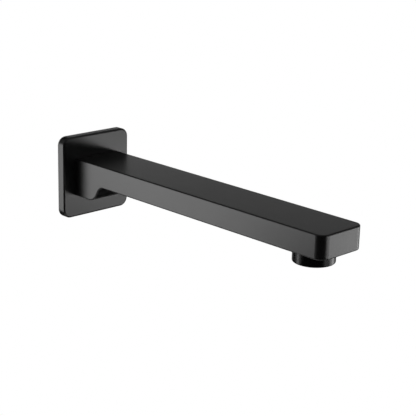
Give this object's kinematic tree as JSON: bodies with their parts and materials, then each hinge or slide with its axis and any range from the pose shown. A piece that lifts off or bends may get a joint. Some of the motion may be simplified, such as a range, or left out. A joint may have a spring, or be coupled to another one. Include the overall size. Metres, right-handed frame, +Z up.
{
  "type": "bath spout",
  "caption": "Wall-mounted bath spout: a flat straight bar with a deeper root block, a square wall flange, a threaded inlet nipple and a round aerator nozzle under the tip.",
  "frame": {"origin": "centre of the inlet on the wall plane, where the nipple's thread leaves the back of the flange", "axes": "+Y points into the wall along the inlet, the spout reaches out along -Y, X is across it and +Z is up"},
  "size_m": [0.06, 0.2554, 0.06],
  "materials": {
    "satin_black": "satin black coating on cast brass",
    "gloss_black": "smoother, glossier black on turned brass",
    "turned_brass": "turned, bare",
    "screw_steel": "stainless",
    "mesh_steel": "woven wire",
    "foam_rubber": "closed-cell foam",
    "seal_rubber": "moulded, matt",
    "dark_plastic": "moulded, dark grey",
    "pale_plastic": "moulded, off-white"
  },
  "bodies": {
    "root": {"spout_body": "satin_black", "wall_flange": "satin_black", "flange_gasket": "foam_rubber", "flange_o_ring": "seal_rubber", "inlet_nipple": "turned_brass", "nipple_o_ring_rear": "seal_rubber", "nipple_o_ring_front": "seal_rubber", "grub_screw": "screw_steel", "aerator_housing": "gloss_black", "aerator_washer": "seal_rubber", "strainer_dome": "pale_plastic", "jet_plate": "pale_plastic", "cartridge_shell": "dark_plastic", "mesh_screen_upper": "mesh_steel", "mesh_screen_lower": "mesh_steel", "screen_spacer": "dark_plastic", "outlet_grid": "dark_plastic"}
  },
  "joints": []
}
